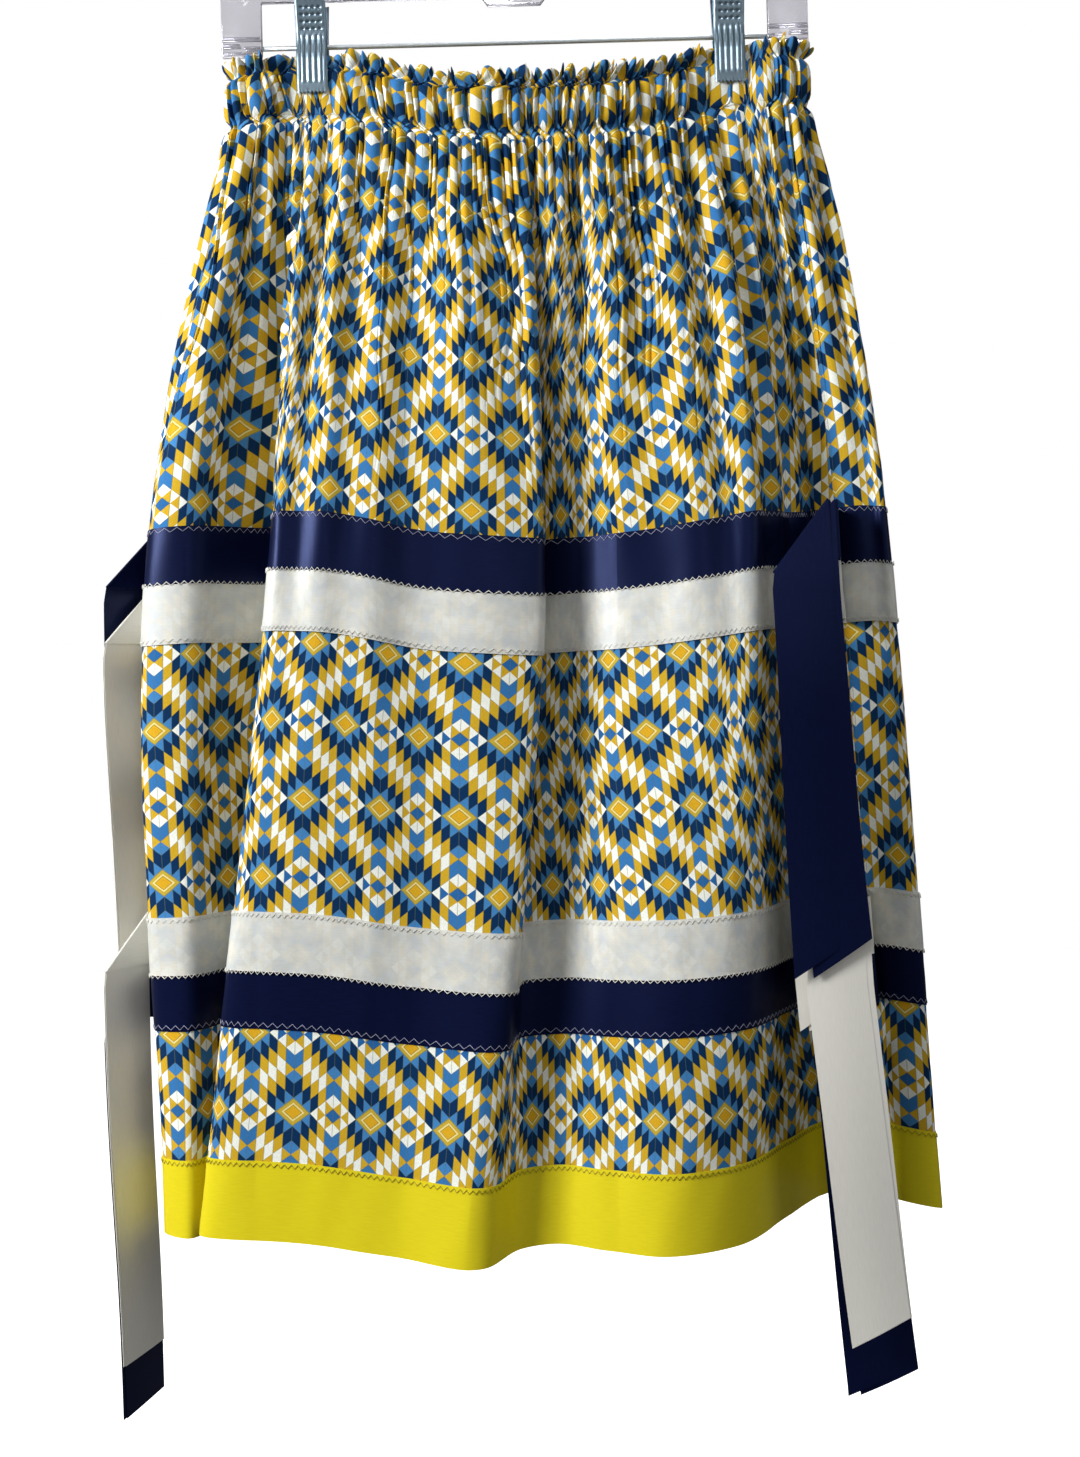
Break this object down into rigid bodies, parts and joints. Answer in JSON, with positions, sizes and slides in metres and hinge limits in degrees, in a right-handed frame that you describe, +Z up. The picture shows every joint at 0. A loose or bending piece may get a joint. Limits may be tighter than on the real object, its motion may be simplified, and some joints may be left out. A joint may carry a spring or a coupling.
{
  "type": "gathered ribbon skirt on a clip hanger",
  "caption": "Straight-cut gathered skirt with an elastic frilled waist, satin ribbon bands, hem band and hanging ribbon tails, held by two clips on a clear hanger.",
  "frame": {"origin": "inner top of the hanger's hook, where a rail holds it up", "axes": "+Z up, the skirt's front faces -Y, +X to the viewer's right"},
  "size_m": [0.5362, 0.1827, 0.9997],
  "materials": {
    "printed_cotton": "matt woven cotton with a blue, gold and cream diamond print",
    "navy_satin": "satin",
    "cream_satin": "satin",
    "yellow_satin": "satin",
    "clear_plastic": "clear, glossy",
    "plated_steel": "bright zinc plate"
  },
  "bodies": {
    "root": {"front_panel": "printed_cotton", "back_panel": "printed_cotton", "waist_casing_front": "printed_cotton", "waist_casing_back": "printed_cotton", "upper_navy_ribbon_front": "navy_satin", "upper_navy_ribbon_back": "navy_satin", "upper_cream_ribbon_front": "cream_satin", "upper_cream_ribbon_back": "cream_satin", "lower_cream_ribbon_front": "cream_satin", "lower_cream_ribbon_back": "cream_satin", "lower_navy_ribbon_front": "navy_satin", "lower_navy_ribbon_back": "navy_satin", "hem_band_front": "yellow_satin", "hem_band_back": "yellow_satin", "tail_right_upper_navy_a": "navy_satin", "tail_right_upper_navy_b": "navy_satin", "tail_right_upper_cream_a": "cream_satin", "tail_right_upper_cream_b": "cream_satin", "tail_right_lower_cream_a": "cream_satin", "tail_right_lower_cream_b": "cream_satin", "tail_right_lower_navy_a": "navy_satin", "tail_right_lower_navy_b": "navy_satin", "tail_left_upper_navy_a": "navy_satin", "tail_left_upper_navy_b": "navy_satin", "tail_left_upper_cream_a": "cream_satin", "tail_left_upper_cream_b": "cream_satin", "tail_left_lower_cream_a": "cream_satin", "tail_left_lower_cream_b": "cream_satin", "tail_left_lower_navy_a": "navy_satin", "tail_left_lower_navy_b": "navy_satin", "hanger_frame": "clear_plastic", "hanger_rod": "plated_steel", "hanger_hook": "plated_steel", "clip_left_front": "plated_steel", "clip_left_back": "plated_steel", "clip_left_spring": "plated_steel", "clip_right_front": "plated_steel", "clip_right_back": "plated_steel", "clip_right_spring": "plated_steel"}
  },
  "joints": []
}
